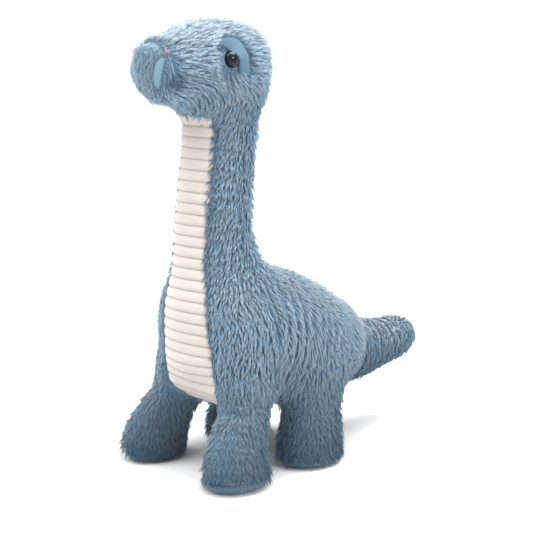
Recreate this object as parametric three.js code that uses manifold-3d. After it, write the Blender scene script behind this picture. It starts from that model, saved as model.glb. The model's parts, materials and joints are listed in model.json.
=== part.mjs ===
// A stuffed long-necked dinosaur, 400 mm tall, standing on four stubby legs.
// Each body is a bag of sewn pile-fabric panels around its own fibre filling. The neck, head,
// tail and legs flex where they are sewn on, so each of them ends in a round root that sits in
// a socket of the body it is sewn to. Units are millimetres, +Z is up, and the toy faces -Y.
import * as THREE from 'three';
import { mergeVertices } from 'three/addons/utils/BufferGeometryUtils.js';
import Module from 'manifold-3d';

const wasm = await Module();
wasm.setup();

// ---- driving dimensions ----
const GAP = 0.3; // clearance between two pieces that touch
const PLUSH = 6; // thickness of a plush panel, its backing and pile together
const SOCKET_PLAY = 1.8; // clearance between a round root and its socket
const SOLE = 5; // thickness of a foot's sole
const TORSO_SIDES = 18;
const HEAD_SIDES = 16;
const NECK_SIDES = 14;
const TAIL_SIDES = 12;
const LEG_SIDES = 12;
const ROUND_SIDES = 14; // facets round an eye and its washer
const CURVE_SIDES = 4; // facets along a curved part of an outline
const EYE_STEP = 22.5; // degrees between the rings of an eye's dome
const BALL_SIDES = 14; // facets round the ball of a socket
const BALL_RINGS = 8; // facets of that ball from pole to pole
const DOME_ANGLES = [30, 56, 78]; // degrees from a form's last section to the rings of its round end
const FAR = 400; // reach of the blocks that cut the panels

// A station is a cross-section of a stuffed form: its centre, its half-width across and its
// half-height, in the order y, z, half-width, half-height. x is 0 where it isn't given.
const station = (y, z, wide, high, x = 0) => ({ centre: new THREE.Vector3(x, y, z), wide, high });

const TORSO = {
  stations: [
    station(-93, 112, 60, 55),
    station(-67, 117.5, 69, 60.5),
    station(-35, 113, 72, 60.5),
    station(-3, 104, 69, 54.5),
    station(25, 92.5, 59.5, 48),
  ],
  front: 24,
  back: 36,
};
const NECK_PIVOT = new THREE.Vector3(0, -87, 180);
const SHOULDER = {
  stations: [station(-87, 106, 49, 42), station(-86, 150, 45, 45), station(-87, 180, 38.5, 40)],
  front: 38,
  back: 0,
};
const NECK = {
  stations: [
    station(-87, 180, 38.5, 40),
    station(-90, 210, 34, 35),
    station(-88, 240, 33, 34),
    station(-84, 275, 32, 33),
    station(-80, 303, 32, 33),
    station(-78, 322, 32, 33),
  ],
  front: 38,
  back: 32,
};
const HEAD_PIVOT = new THREE.Vector3(0, -78, 322);
const HEAD = {
  stations: [
    station(-142, 347, 34.5, 30),
    station(-121, 350, 38, 33.5),
    station(-95, 353.5, 41, 37),
    station(-69, 351, 41, 38.5),
  ],
  front: 22,
  back: 31,
};
const TAIL_PIVOT = new THREE.Vector3(0, 53, 83.5);
const TAIL = {
  stations: [
    station(53, 83.5, 34, 38),
    station(80, 77.5, 27, 31),
    station(110, 77, 22, 25),
    station(137, 80, 20, 21.5),
  ],
  front: 33,
  back: 27.5,
};
const FRONT_LEG = {
  stations: [
    station(-90, 75, 24, 25.5, 42),
    station(-96, 54, 23, 22, 47),
    station(-105.5, 37, 23.5, 26.5, 51.5),
    station(-112, 20, 25.5, 32, 55.5),
    station(-113, 8, 25.5, 32.5, 57.5),
    station(-113, 0, 22, 28.5, 57.5),
  ],
  front: 25,
  back: 0,
};
const HIND_LEG = {
  stations: [
    station(-12, 77, 26, 31, 41),
    station(-14.5, 54, 25.5, 28.5, 46),
    station(-17, 37, 25.5, 30, 48),
    station(-19.5, 20, 26.5, 33, 49),
    station(-20, 8, 26.5, 33.5, 49),
    station(-20, 0, 23, 30, 49),
  ],
  front: 27,
  back: 0,
};
const LEG_SWING = 15; // degrees that a leg swings away from the other pair
const NECK_SWING = 15; // degrees that the head nods on the neck

const BIB = {
  topHalf: 20.5,
  waistHalf: 21.5,
  bottomHalf: 30,
  bottom: 69,
  top: 317,
  back: -93, // everything in front of this plane and inside the outline is bib
  corner: 18,
};
const BELLY = { half: 25, front: -104, back: 33, top: 74 };
const CROWN = { half: 12, bottom: 356 };
const CHIN = { half: 17, top: 335, back: -111 };

const EYE = { y: -98.5, z: 357, radius: 7, dome: 5, flange: 2, post: 2, postLength: 13 };
const WASHER = { outer: 6.5, thick: 1.6, sink: 1.6 };
const LID = { radius: 12.6, half: 4.6, thick: 2.8, start: -46, sweep: 160, lift: 1.2, steps: 10 };
const NOSTRIL = { y: -152.5, z: 363, radius: 1, length: 5, tilt: 0.6, cap: 2, sides: 8 };

const FINISH = {
  plush: [0x7f9cb0, 0.95],
  deepPlush: [0x6f8ca0, 0.95],
  cord: [0xe4dfd4, 0.9],
  fibre: [0xf2f2ee, 1.0],
  eye: [0x05090f, 0.12],
  nylon: [0xd8d8d4, 0.6],
  suede: [0x869fb0, 0.8],
  thread: [0xb06a78, 0.7],
};

// ---- geometry helpers ----

// Closed three.js geometry to a manifold solid.
function solid(geometry) {
  const bare = geometry.index ? geometry.clone() : geometry;
  bare.deleteAttribute('normal');
  bare.deleteAttribute('uv');
  const merged = mergeVertices(bare, 1e-4);
  return new wasm.Manifold(new wasm.Mesh({
    numProp: 3,
    vertProperties: new Float32Array(merged.attributes.position.array),
    triVerts: new Uint32Array(merged.index.array),
  }));
}

function geometryOf(body) {
  const { vertProperties, triVerts } = body.getMesh();
  const geometry = new THREE.BufferGeometry();
  geometry.setAttribute('position', new THREE.BufferAttribute(vertProperties, 3));
  geometry.setIndex(new THREE.BufferAttribute(triVerts, 1));
  return geometry;
}

// The stations of a form drawn in by a depth, with a dome of rings added at each end that has
// a dome height. A form without a dome keeps a flat end.
function rings(form, depth = 0) {
  const inner = form.stations.map((s) => ({
    centre: s.centre.clone(),
    wide: s.wide - depth,
    high: s.high - depth,
  }));
  const along = inner.map((s, i) => {
    const next = inner[Math.min(i + 1, inner.length - 1)].centre;
    const last = inner[Math.max(i - 1, 0)].centre;
    return next.clone().sub(last).normalize();
  });
  const list = inner.map((s, i) => ({ ...s, along: along[i] }));
  const dome = (end, height, sign) => DOME_ANGLES.map((degrees) => {
    const angle = THREE.MathUtils.degToRad(degrees);
    const centre = end.centre.clone();
    centre.addScaledVector(end.along, sign * (height - depth) * Math.sin(angle));
    const shrink = Math.cos(angle);
    return { centre, wide: end.wide * shrink, high: end.high * shrink, along: end.along };
  });
  const before = form.front ? dome(list[0], form.front, -1).reverse() : [];
  const after = form.back ? dome(list.at(-1), form.back, 1) : [];
  return [...before, ...list, ...after];
}

// A closed skin through a list of elliptical rings, with a fan over each end.
function skin(list, sides) {
  const points = [];
  const faces = [];
  list.forEach(({ centre, wide, high, along }) => {
    const across = new THREE.Vector3(1, 0, 0).addScaledVector(along, -along.x).normalize();
    const up = new THREE.Vector3().crossVectors(along, across);
    for (let i = 0; i < sides; i += 1) {
      const angle = (2 * Math.PI * (i + 0.5)) / sides;
      const point = centre.clone();
      point.addScaledVector(across, wide * Math.cos(angle));
      point.addScaledVector(up, high * Math.sin(angle));
      points.push(...point.toArray());
    }
  });
  for (let r = 0; r + 1 < list.length; r += 1) {
    for (let i = 0; i < sides; i += 1) {
      const a = r * sides + i;
      const b = r * sides + ((i + 1) % sides);
      faces.push(a, b, b + sides, a, b + sides, a + sides);
    }
  }
  const first = points.length / 3;
  points.push(...list[0].centre.toArray(), ...list.at(-1).centre.toArray());
  const end = (list.length - 1) * sides;
  for (let i = 0; i < sides; i += 1) {
    const j = (i + 1) % sides;
    faces.push(first, j, i, first + 1, end + i, end + j);
  }
  const geometry = new THREE.BufferGeometry();
  geometry.setAttribute('position', new THREE.Float32BufferAttribute(points, 3));
  geometry.setIndex(faces);
  return geometry;
}

const formBody = (form, sides, depth = 0) => solid(skin(rings(form, depth), sides));

function mirrored(form) {
  const stations = form.stations.map((s) => ({
    ...s,
    centre: s.centre.clone().multiply(new THREE.Vector3(-1, 1, 1)),
  }));
  return { ...form, stations };
}

// The room that the first stretch of a form needs as it swings about a pivot.
function sweptRoom(form, pivot, degrees, sides) {
  const spread = Math.sin(THREE.MathUtils.degToRad(degrees));
  const stations = form.stations.slice(0, 3).map((s) => {
    const reach = s.centre.distanceTo(pivot) * spread;
    return { ...s, wide: s.wide + SOCKET_PLAY, high: s.high + SOCKET_PLAY + reach };
  });
  return solid(skin(rings({ stations, front: 0, back: 0 }), sides));
}

function block(x0, x1, y0, y1, z0, z1) {
  const geometry = new THREE.BoxGeometry(x1 - x0, y1 - y0, z1 - z0);
  geometry.translate((x0 + x1) / 2, (y0 + y1) / 2, (z0 + z1) / 2);
  return solid(geometry);
}

function ball(centre, radius) {
  const geometry = new THREE.SphereGeometry(radius, BALL_SIDES, BALL_RINGS);
  geometry.translate(...centre.toArray());
  return solid(geometry);
}

// The largest piece of a cut, without the slivers that a cut can leave.
function mainPiece(body) {
  const pieces = body.decompose();
  return pieces.sort((a, b) => b.volume() - a.volume())[0];
}

const leftOf = (body) => body.intersect(block(GAP / 2, FAR, -FAR, FAR, -FAR, 2 * FAR));
const rightOf = (body) => body.intersect(block(-FAR, -GAP / 2, -FAR, FAR, -FAR, 2 * FAR));

const toy = new THREE.Group();

function addMesh(name, body, [color, roughness]) {
  const material = new THREE.MeshStandardMaterial({ color, roughness, metalness: 0 });
  const mesh = new THREE.Mesh(geometryOf(mainPiece(body)), material);
  mesh.name = name;
  toy.add(mesh);
}

// ---- the ribbed bib down the front of the neck and chest ----

// A block through the front of the toy with the bib's outline, grown by a margin.
function bibBlock(margin, bottom, top) {
  const outline = new THREE.Shape();
  const low = BIB.bottom - margin;
  const side = BIB.bottomHalf + margin;
  outline.moveTo(-side + BIB.corner, low);
  outline.lineTo(side - BIB.corner, low);
  outline.quadraticCurveTo(side, low, side, low + BIB.corner);
  outline.lineTo(BIB.waistHalf + margin, NECK_PIVOT.z);
  outline.lineTo(BIB.topHalf + margin, BIB.top + margin);
  outline.lineTo(-BIB.topHalf - margin, BIB.top + margin);
  outline.lineTo(-BIB.waistHalf - margin, NECK_PIVOT.z);
  outline.lineTo(-side, low + BIB.corner);
  outline.quadraticCurveTo(-side, low, -side + BIB.corner, low);
  const geometry = new THREE.ExtrudeGeometry(outline, {
    depth: FAR,
    bevelEnabled: false,
    curveSegments: CURVE_SIDES,
  });
  geometry.rotateX(Math.PI / 2);
  geometry.translate(0, BIB.back, 0);
  return solid(geometry).intersect(block(-FAR, FAR, -FAR, FAR, bottom, top));
}

// ---- torso ----

const LEGS = {
  front_left: { form: FRONT_LEG, side: 1 },
  front_right: { form: mirrored(FRONT_LEG), side: -1 },
  hind_left: { form: HIND_LEG, side: 1 },
  hind_right: { form: mirrored(HIND_LEG), side: -1 },
};

function torsoSockets() {
  const neck = ball(NECK_PIVOT, NECK.stations[0].high + SOCKET_PLAY);
  const tail = ball(TAIL_PIVOT, TAIL.stations[0].high + SOCKET_PLAY);
  const legs = Object.values(LEGS).map(({ form }) => {
    const pivot = form.stations[0].centre;
    const reach = form.stations[0].high + SOCKET_PLAY;
    return ball(pivot, reach).add(sweptRoom(form, pivot, LEG_SWING, LEG_SIDES));
  });
  return legs.reduce((all, leg) => all.add(leg), neck.add(tail));
}

function makeTorso() {
  const whole = (depth) => formBody(TORSO, TORSO_SIDES, depth)
    .add(formBody(SHOULDER, NECK_SIDES, depth));
  const sockets = torsoSockets();
  const top = block(-FAR, FAR, -FAR, FAR, NECK_PIVOT.z - GAP, 2 * FAR);
  const shell = whole(0).subtract(whole(PLUSH)).subtract(sockets).subtract(top);
  const bib = bibBlock(0, -FAR, NECK_PIVOT.z);
  const bibRoom = bibBlock(GAP, -FAR, NECK_PIVOT.z);
  const belly = (m) => block(-BELLY.half - m, BELLY.half + m, BELLY.front - m, BELLY.back + m,
    -FAR, BELLY.top + m);
  const flanks = shell.subtract(bibRoom).subtract(belly(GAP));
  addMesh('flank_panel_left', leftOf(flanks), FINISH.plush);
  addMesh('flank_panel_right', rightOf(flanks), FINISH.plush);
  addMesh('chest_panel_lower', shell.intersect(bib), FINISH.cord);
  addMesh('belly_gusset', shell.subtract(bibRoom).intersect(belly(0)), FINISH.deepPlush);
  const fibre = whole(PLUSH + GAP).subtract(sockets).subtract(top);
  addMesh('torso_filling', fibre, FINISH.fibre);
}

// ---- neck ----

function makeNeck() {
  const shell = formBody(NECK, NECK_SIDES).subtract(formBody(NECK, NECK_SIDES, PLUSH));
  const floor = NECK_PIVOT.z + 1;
  const bib = bibBlock(0, floor, BIB.top);
  const bibRoom = bibBlock(GAP, floor - GAP, BIB.top + GAP);
  const plush = shell.subtract(bibRoom);
  addMesh('neck_panel_left', leftOf(plush), FINISH.plush);
  addMesh('neck_panel_right', rightOf(plush), FINISH.plush);
  addMesh('throat_panel', shell.intersect(bib), FINISH.cord);
  addMesh('neck_filling', formBody(NECK, NECK_SIDES, PLUSH + GAP), FINISH.fibre);
}

// ---- tail ----

function makeTail() {
  const shell = formBody(TAIL, TAIL_SIDES).subtract(formBody(TAIL, TAIL_SIDES, PLUSH));
  addMesh('tail_panel_left', leftOf(shell), FINISH.plush);
  addMesh('tail_panel_right', rightOf(shell), FINISH.plush);
  addMesh('tail_filling', formBody(TAIL, TAIL_SIDES, PLUSH + GAP), FINISH.fibre);
}

// ---- legs ----

function makeLeg(name, form, side) {
  const above = block(-FAR, FAR, -FAR, FAR, SOLE + GAP, FAR);
  const outer = formBody(form, LEG_SIDES);
  const shell = outer.subtract(formBody(form, LEG_SIDES, PLUSH)).intersect(above);
  const foot = form.stations.at(-1).centre.x;
  const outside = (shift) => {
    const edge = foot + side * shift;
    return side > 0
      ? block(edge, FAR, -FAR, FAR, -FAR, FAR)
      : block(-FAR, edge, -FAR, FAR, -FAR, FAR);
  };
  addMesh(`${name}_leg_outer_panel`, shell.intersect(outside(GAP / 2)), FINISH.plush);
  addMesh(`${name}_leg_inner_panel`, shell.subtract(outside(-GAP / 2)), FINISH.deepPlush);
  const below = block(-FAR, FAR, -FAR, FAR, -FAR, SOLE);
  addMesh(`${name}_foot_sole`, outer.intersect(below), FINISH.deepPlush);
  const fibre = formBody(form, LEG_SIDES, PLUSH + GAP);
  const floor = block(-FAR, FAR, -FAR, FAR, SOLE + GAP, FAR);
  addMesh(`${name}_leg_filling`, fibre.intersect(floor), FINISH.fibre);
}

// ---- head, with its eyes, eyelids and nostrils ----

// Where the head's side surface is at a place along its length and height, and which way it
// faces there, from the ellipse between the two rings around that place.
function headSurface(y, z) {
  const list = rings(HEAD);
  const after = list.findIndex((ring) => ring.centre.y >= y);
  const a = list[after - 1];
  const b = list[after];
  const run = b.centre.y - a.centre.y;
  const mix = (p, q) => p + ((q - p) * (y - a.centre.y)) / run;
  const wide = mix(a.wide, b.wide);
  const high = mix(a.high, b.high);
  const height = (z - mix(a.centre.z, b.centre.z)) / high;
  const level = Math.sqrt(1 - height * height);
  const normal = new THREE.Vector3(level / wide, 0, height / high).normalize();
  normal.y = -((b.wide - a.wide) * level * normal.x + (b.high - a.high) * height * normal.z) / run;
  return { point: new THREE.Vector3(wide * level, y, z), normal: normal.normalize() };
}

// Puts a geometry on the head's left side, with its +X towards the back of the head and its +Z
// out of the surface, or mirrors that place on to the right side.
function place(geometry, { point, normal }, side) {
  const back = new THREE.Vector3(0, 1, 0).addScaledVector(normal, -normal.y).normalize();
  const up = new THREE.Vector3().crossVectors(normal, back);
  const frame = new THREE.Matrix4().makeBasis(back, up, normal).setPosition(point);
  geometry.applyMatrix4(frame);
  return side > 0 ? solid(geometry) : solid(turnedOver(geometry.scale(-1, 1, 1)));
}

// A mirrored geometry with the corners of each face in the opposite order.
function turnedOver(geometry) {
  const flat = geometry.index ? geometry.toNonIndexed() : geometry;
  const { array } = flat.attributes.position;
  for (let i = 0; i < array.length; i += 9) {
    const corner = array.slice(i + 3, i + 6);
    array.copyWithin(i + 3, i + 6, i + 9);
    array.set(corner, i + 6);
  }
  return flat;
}

// The eye as one turned piece: a dome, a flat back and a post. A margin grows it for its room.
function eyeGeometry(margin = 0) {
  const radius = EYE.radius + margin;
  const profile = [new THREE.Vector2(0, -EYE.postLength - margin)];
  profile.push(new THREE.Vector2(EYE.post + margin, -EYE.postLength - margin));
  profile.push(new THREE.Vector2(EYE.post + margin, -EYE.flange - margin));
  profile.push(new THREE.Vector2(radius, -EYE.flange - margin));
  for (let degrees = 0; degrees < 90; degrees += EYE_STEP) {
    const angle = THREE.MathUtils.degToRad(degrees);
    const height = (EYE.dome + margin) * Math.sin(angle);
    profile.push(new THREE.Vector2(radius * Math.cos(angle), height));
  }
  profile.push(new THREE.Vector2(0, EYE.dome + margin));
  return new THREE.LatheGeometry(profile, ROUND_SIDES).rotateX(Math.PI / 2);
}

function washerGeometry(margin = 0) {
  const inner = EYE.post + GAP - margin;
  const outer = WASHER.outer + margin;
  const high = -PLUSH - WASHER.sink + margin;
  const low = -PLUSH - WASHER.sink - WASHER.thick - margin;
  const profile = [[inner, low], [outer, low], [outer, high], [inner, high], [inner, low]];
  const points = profile.map(([r, h]) => new THREE.Vector2(r, h));
  return new THREE.LatheGeometry(points, ROUND_SIDES).rotateX(Math.PI / 2);
}

// The padded eyelid: a round bar bent over the top and back of the eye.
function lidGeometry(margin = 0) {
  class Bend extends THREE.Curve {
    getPoint(t) {
      const angle = THREE.MathUtils.degToRad(LID.start + LID.sweep * t);
      return new THREE.Vector3(LID.radius * Math.cos(angle), LID.radius * Math.sin(angle), LID.lift);
    }
  }
  const section = new THREE.Shape().absellipse(0, 0, LID.thick + margin, LID.half + margin, 0,
    2 * Math.PI);
  return new THREE.ExtrudeGeometry(section, {
    steps: LID.steps,
    extrudePath: new Bend(),
    curveSegments: CURVE_SIDES,
  });
}

function nostrilGeometry(margin = 0) {
  const radius = NOSTRIL.radius + margin;
  return new THREE.CapsuleGeometry(radius, NOSTRIL.length, NOSTRIL.cap, NOSTRIL.sides)
    .rotateZ(NOSTRIL.tilt);
}

function makeHead() {
  const shellRoom = formBody(HEAD, HEAD_SIDES, PLUSH);
  const neckRoom = ball(HEAD_PIVOT, NECK.stations.at(-1).high + SOCKET_PLAY)
    .add(neckSwingRoom());
  const eyeSpot = headSurface(EYE.y, EYE.z);
  const nostrilSpot = headSurface(NOSTRIL.y, NOSTRIL.z);
  const sides = { left: 1, right: -1 };
  const trims = Object.values(sides).flatMap((side) => [
    place(eyeGeometry(GAP), eyeSpot, side),
    place(lidGeometry(GAP), eyeSpot, side),
    place(nostrilGeometry(GAP), nostrilSpot, side),
  ]);
  const washerRooms = Object.values(sides).map((side) => place(washerGeometry(GAP), eyeSpot, side));
  const cut = (body, tools) => tools.reduce((rest, tool) => rest.subtract(tool), body);
  const shell = cut(formBody(HEAD, HEAD_SIDES).subtract(shellRoom).subtract(neckRoom), trims);
  const crown = (m) => block(-CROWN.half - m, CROWN.half + m, -FAR, FAR, CROWN.bottom - m, FAR);
  const chin = (m) => block(-CHIN.half - m, CHIN.half + m, -FAR, CHIN.back + m, 0, CHIN.top + m);
  const cheeks = shell.subtract(crown(GAP)).subtract(chin(GAP));
  addMesh('head_panel_left', leftOf(cheeks), FINISH.plush);
  addMesh('head_panel_right', rightOf(cheeks), FINISH.plush);
  addMesh('crown_gusset', shell.intersect(crown(0)), FINISH.plush);
  addMesh('chin_panel', shell.intersect(chin(0)), FINISH.deepPlush);
  const fibre = formBody(HEAD, HEAD_SIDES, PLUSH + GAP).subtract(neckRoom);
  addMesh('head_filling', cut(fibre, [...trims, ...washerRooms]), FINISH.fibre);
  Object.entries(sides).forEach(([word, side]) => {
    const eye = place(eyeGeometry(), eyeSpot, side);
    addMesh(`eye_${word}`, eye, FINISH.eye);
    addMesh(`eye_washer_${word}`, place(washerGeometry(), eyeSpot, side), FINISH.nylon);
    const lid = place(lidGeometry(), eyeSpot, side).subtract(place(eyeGeometry(GAP), eyeSpot, side));
    addMesh(`eyelid_${word}`, lid, FINISH.suede);
    addMesh(`nostril_${word}`, place(nostrilGeometry(), nostrilSpot, side), FINISH.thread);
  });
}

// The room that the neck needs below the head's pivot as the head nods.
function neckSwingRoom() {
  const stations = NECK.stations.slice(-3).reverse();
  return sweptRoom({ stations, front: 0, back: 0 }, HEAD_PIVOT, NECK_SWING, NECK_SIDES);
}

makeTorso();
makeNeck();
makeHead();
makeTail();
Object.entries(LEGS).forEach(([name, { form, side }]) => makeLeg(name, form, side));

export default toy;
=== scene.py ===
"""A stuffed long-necked dinosaur in blue plush with a ribbed cream bib.

The toy is a set of stuffed bags sewn to each other. One smooth field joins the bags, each skin is
a level of that field, and the pile is real tufts of tapered hairs that stand on the skins. Sizes
are in millimetres until a mesh is made, and the mesh is in metres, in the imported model's frame.
"""

import json
import logging
import math
from dataclasses import dataclass, field
from enum import Enum

import bpy
import numpy as np
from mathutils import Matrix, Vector

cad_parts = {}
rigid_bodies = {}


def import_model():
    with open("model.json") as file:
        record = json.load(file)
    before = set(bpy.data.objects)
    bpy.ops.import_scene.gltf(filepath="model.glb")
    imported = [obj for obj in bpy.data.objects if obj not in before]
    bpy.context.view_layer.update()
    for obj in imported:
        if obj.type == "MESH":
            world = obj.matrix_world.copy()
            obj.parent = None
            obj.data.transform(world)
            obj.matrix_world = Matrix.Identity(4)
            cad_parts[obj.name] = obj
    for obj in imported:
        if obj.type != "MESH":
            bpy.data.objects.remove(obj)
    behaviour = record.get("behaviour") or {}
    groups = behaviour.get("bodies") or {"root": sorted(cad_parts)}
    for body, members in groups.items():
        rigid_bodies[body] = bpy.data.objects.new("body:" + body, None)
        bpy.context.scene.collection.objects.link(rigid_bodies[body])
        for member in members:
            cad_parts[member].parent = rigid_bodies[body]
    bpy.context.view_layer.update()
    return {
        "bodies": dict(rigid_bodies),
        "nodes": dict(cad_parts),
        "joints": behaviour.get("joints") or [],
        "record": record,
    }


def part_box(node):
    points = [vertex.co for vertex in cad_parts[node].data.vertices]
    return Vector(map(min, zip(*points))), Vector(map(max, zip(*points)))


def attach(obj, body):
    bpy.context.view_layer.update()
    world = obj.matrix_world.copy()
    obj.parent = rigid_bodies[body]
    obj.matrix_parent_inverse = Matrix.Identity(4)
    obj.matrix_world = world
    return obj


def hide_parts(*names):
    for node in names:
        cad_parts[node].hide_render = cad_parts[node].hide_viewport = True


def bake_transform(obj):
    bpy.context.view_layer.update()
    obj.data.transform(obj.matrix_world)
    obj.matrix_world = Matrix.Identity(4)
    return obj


MM = 0.001
log = logging.getLogger("plush_dinosaur")

Array = np.ndarray


# ---------------------------------------------------------------------------------------------
# Shader expressions
# ---------------------------------------------------------------------------------------------


class Value:
    """A shader socket, or a plain number, that takes part in arithmetic as Math nodes."""

    def __init__(self, nodes: "Nodes", source: "bpy.types.NodeSocket | float") -> None:
        """Keeps the node tree and the socket or number."""
        self.nodes = nodes
        self.source = source

    def _math(self, operation: str, *others: "Value | float") -> "Value":
        """Adds a Math node.

        Args:
            operation: The Math node's operation.
            others: The inputs after this one.

        Returns:
            The node's output.
        """
        inputs = dict(enumerate([self, *others]))
        return self.nodes.add("ShaderNodeMath", {"operation": operation}, inputs)

    def __add__(self, other: "Value | float") -> "Value":
        """self + other."""
        return self._math("ADD", other)

    def __sub__(self, other: "Value | float") -> "Value":
        """self - other."""
        return self._math("SUBTRACT", other)

    def __mul__(self, other: "Value | float") -> "Value":
        """self * other."""
        return self._math("MULTIPLY", other)

    def __rsub__(self, other: float) -> "Value":
        """other - self."""
        return Value(self.nodes, other)._math("SUBTRACT", self)

    __radd__ = __add__
    __rmul__ = __mul__

    def clamped(self) -> "Value":
        """The value held between 0 and 1."""
        return self._math("MAXIMUM", 0.0)._math("MINIMUM", 1.0)


class Nodes:
    """A material's node tree, with one method that adds every kind of node."""

    def __init__(self, name: str) -> None:
        """Makes an empty node material of that name."""
        self.material = bpy.data.materials.new(name)
        self.material.use_nodes = True
        self.tree = self.material.node_tree
        self.tree.nodes.clear()

    def add(self, kind: str, settings: dict, inputs: dict, output: "int | str" = 0) -> Value:
        """Adds a node.

        Args:
            kind: The node's type.
            settings: Properties set before the sockets, such as an operation or a ramp's stops.
            inputs: Values, colours or links by socket name or number.
            output: The output socket that is returned.

        Returns:
            That output as a Value.
        """
        node = self.tree.nodes.new(kind)
        for key, value in settings.items():
            if key == "stops":
                self._set_stops(node.color_ramp, value)
            else:
                setattr(node, key, value)
        for key, value in inputs.items():
            source = value.source if isinstance(value, Value) else value
            if isinstance(source, bpy.types.NodeSocket):
                self.tree.links.new(source, node.inputs[key])
            else:
                node.inputs[key].default_value = source
        return Value(self, node.outputs[output] if node.outputs else 0.0)

    @staticmethod
    def _set_stops(ramp: bpy.types.ColorRamp, stops: list) -> None:
        """Gives a colour ramp its stops, each a place and a colour."""
        while len(ramp.elements) < len(stops):
            ramp.elements.new(1.0)
        for element, (place, colour) in zip(ramp.elements, stops):
            element.position = place
            element.color = (*colour, 1.0)

    def place(self) -> Value:
        """The point on the object, in metres."""
        return self.add("ShaderNodeTexCoord", {}, {}, "Object")

    def height(self) -> Value:
        """The height above the ground, in metres."""
        return self.add("ShaderNodeSeparateXYZ", {}, {"Vector": self.place()}, "Z")

    def attribute(self, name: str) -> Value:
        """A number that the mesh carries at each point."""
        return self.add("ShaderNodeAttribute", {"attribute_name": name}, {}, "Fac")

    def noise(self, scale: float, detail: float = 3.0, rough: float = 0.5) -> Value:
        """Noise from 0 to 1 over the object, scale cells in a metre."""
        sockets = {"Vector": self.place(), "Scale": scale, "Detail": detail, "Roughness": rough}
        return self.add("ShaderNodeTexNoise", {}, sockets)

    def ramp(self, value: Value, stops: list) -> Value:
        """The colour of a value on a ramp with those stops."""
        return self.add("ShaderNodeValToRGB", {"stops": stops}, {0: value})

    def mix(self, amount: "Value | float", first: "Value | tuple",
            second: "Value | tuple") -> Value:
        """Mixes two colours.

        Args:
            amount: How much of the second colour there is, from 0 to 1.
            first: A colour, or a Value that holds one.
            second: A colour, or a Value that holds one.

        Returns:
            The mixed colour.
        """
        settings = {"data_type": "RGBA"}
        colours = {6: first, 7: second}
        for key, colour in colours.items():
            if not isinstance(colour, Value):
                colours[key] = (*colour, 1.0)
        return self.add("ShaderNodeMix", settings, {0: amount, **colours}, 2)

    def bump(self, height: Value, distance: float) -> Value:
        """A normal bumped by a height, with that many metres for a height of 1."""
        return self.add("ShaderNodeBump", {}, {"Height": height, "Distance": distance,
                                               "Strength": 1.0})

    def finish(self, **sockets: "Value | float | tuple") -> bpy.types.Material:
        """Ends the tree in a Principled shader.

        Args:
            sockets: Its inputs, with spaces written as underscores.

        Returns:
            The material.
        """
        inputs = {key.replace("_", " "): value for key, value in sockets.items()}
        shader = self.add("ShaderNodeBsdfPrincipled", {}, inputs, "BSDF")
        self.add("ShaderNodeOutputMaterial", {}, {"Surface": shader})
        return self.material


# ---------------------------------------------------------------------------------------------
# Finishes
# ---------------------------------------------------------------------------------------------

Colour = tuple[float, float, float]


def srgb(red: float, green: float, blue: float) -> Colour:
    """A display colour from 0 to 255 as linear light from 0 to 1."""
    def linear(part: float) -> float:
        """One part of the colour, by the display curve."""
        part /= 255.0
        return part / 12.92 if part <= 0.04045 else ((part + 0.055) / 1.055) ** 2.4
    return linear(red), linear(green), linear(blue)


@dataclass(frozen=True)
class PileFinish:
    """Hairs of dyed polyester pile, with painted shade dark at the root and a painted highlight
    pale at the tip.
    """

    # root and tip: painted shade at the hair's root and a painted highlight at its tip
    root: Colour = srgb(80, 115, 140)
    middle: Colour = srgb(117, 152, 176)
    tip: Colour = srgb(205, 216, 223)
    dark: Colour = srgb(82, 118, 144)
    # foot: painted shade colour for the pile near the ground
    foot: Colour = srgb(42, 72, 93)
    # crease: painted shade colour for the creases
    crease: Colour = srgb(40, 66, 86)
    # painted top light: the pale colour that pile facing up is mixed towards
    painted_top_light: Colour = srgb(162, 173, 180)
    tone_share: float = 0.34
    painted_top_light_share: float = 0.5
    ground_shade_share: float = 0.9
    ground_shade_falloff: float = 9.6
    crease_shade_share: float = 0.75

    def build(self) -> bpy.types.Material:
        """Colour by height along the hair, by tuft, by a slow drift and by height on the toy.

        The pile that faces up gets a painted top light, and the pile near the ground and in the
        creases gets painted shade.
        """
        nodes = Nodes("blue_plush_pile")
        height = nodes.attribute("hair_height")
        tone = nodes.attribute("tuft_tone")
        # along the hair: dark painted shade at the root, pale painted highlight at the tip
        along = nodes.ramp(height, [(0.0, self.root), (0.5, self.middle), (1.0, self.tip)])
        drift = nodes.noise(22.0, 2.0)
        toned = nodes.mix((tone * self.tone_share).clamped(), along, self.dark)
        even = nodes.mix((drift - 0.35).clamped() * 0.5, toned, self.middle)
        # painted shade near the ground: the pile darkens towards the floor
        low = (1.0 - nodes.height() * self.ground_shade_falloff).clamped()
        # painted top light on the pile that faces up
        painted_top_light = nodes.mix(nodes.attribute("upward") * self.painted_top_light_share, even, self.painted_top_light)
        ground_shaded = nodes.mix(low * self.ground_shade_share, painted_top_light, self.foot)
        # painted shade in the creases by the eyes, nostrils, mouth and bib
        colour = nodes.mix(nodes.attribute("crease") * self.crease_shade_share, ground_shaded, self.crease)
        return nodes.finish(
            Base_Color=colour,
            Roughness=0.62 + tone * 0.2,
            Sheen_Weight=0.35,
            Sheen_Roughness=0.4,
            Sheen_Tint=(0.8, 0.87, 0.92, 1.0),
            Specular_IOR_Level=0.25,
        )


@dataclass(frozen=True)
class BackingFinish:
    """The knitted backing and the crowded feet of the pile, as seen between the tufts."""

    deep: Colour = srgb(66, 92, 110)
    pale: Colour = srgb(98, 126, 146)

    def build(self) -> bpy.types.Material:
        """A felted ground of fine noise with a soft bump."""
        nodes = Nodes("blue_plush_backing")
        fine = nodes.noise(900.0, 4.0, 0.65)
        colour = nodes.ramp(fine, [(0.3, self.deep), (0.75, self.pale)])
        return nodes.finish(
            Base_Color=colour,
            Roughness=0.95,
            Sheen_Weight=0.3,
            Specular_IOR_Level=0.1,
            Normal=nodes.bump(fine, 0.0006),
        )


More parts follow.
